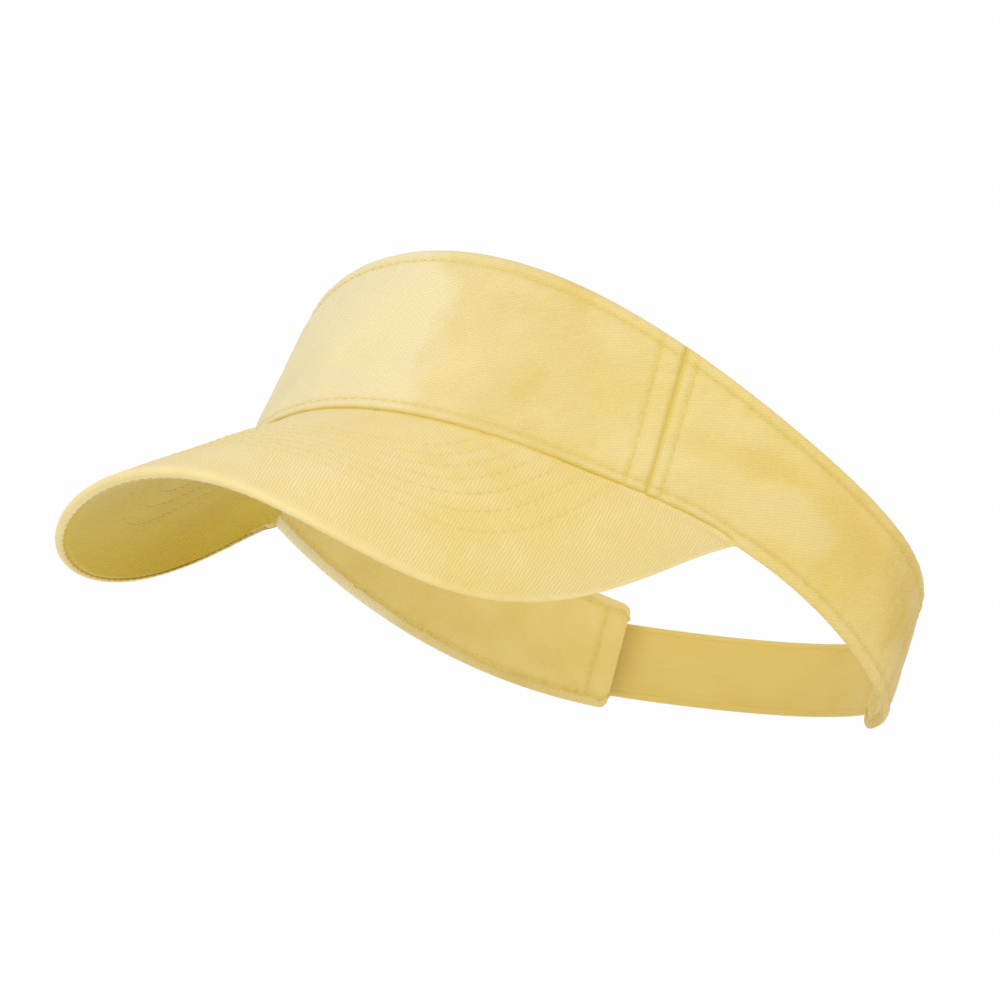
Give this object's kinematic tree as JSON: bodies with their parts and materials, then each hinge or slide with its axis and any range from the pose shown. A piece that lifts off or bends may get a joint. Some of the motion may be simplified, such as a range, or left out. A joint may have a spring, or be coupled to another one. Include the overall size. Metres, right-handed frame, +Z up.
{
  "type": "sun visor",
  "caption": "Soft sun visor with a curved brim, an open crown, a three-panel cloth band and a hook-and-loop strap at the back.",
  "frame": {"origin": "the middle of the bounding box's bottom, on the surface that the brim's sides and the band's rear ends rest on", "axes": "+Z up as it lies on its rims, -Y forward over the brim, +X towards the wearer's left"},
  "size_m": [0.166, 0.281, 0.1019],
  "materials": {
    "band_cloth": "washed cotton twill",
    "brim_cloth": "washed cotton twill, coarse rib",
    "facing_cloth": "washed cotton twill",
    "strap_cloth": "washed cotton twill",
    "thread": "spun sewing thread",
    "buckram": "stiff open weave",
    "board": "matt sheet",
    "hook_tape": "fine plastic hooks",
    "loop_tape": "brushed loops"
  },
  "bodies": {
    "visor": {"front_panel": "band_cloth", "left_side_panel": "band_cloth", "right_side_panel": "band_cloth", "front_stiffener": "buckram", "front_facing": "facing_cloth", "left_facing": "facing_cloth", "right_facing": "facing_cloth", "upper_edge_thread": "thread", "lower_edge_thread": "thread", "left_seam_thread": "thread", "right_seam_thread": "thread", "left_end_thread": "thread", "right_end_thread": "thread", "brim_row_thread": "thread", "brim_hem_thread": "thread", "brim_top_cover": "brim_cloth", "brim_bottom_cover": "brim_cloth", "brim_board": "board", "loop_strip": "loop_tape"},
    "strap": {"strap_outer_layer": "strap_cloth", "strap_inner_layer": "strap_cloth", "hook_strip": "hook_tape", "strap_edge_thread": "thread"}
  },
  "joints": [
    {"name": "strap_peel", "type": "hinge", "parent": "visor", "child": "strap", "pos_m": [0.03504, 0.12522, 0.0197], "axis": [-0.0021, -0.2164, -0.9763], "range_deg": [0, 110]}
  ]
}
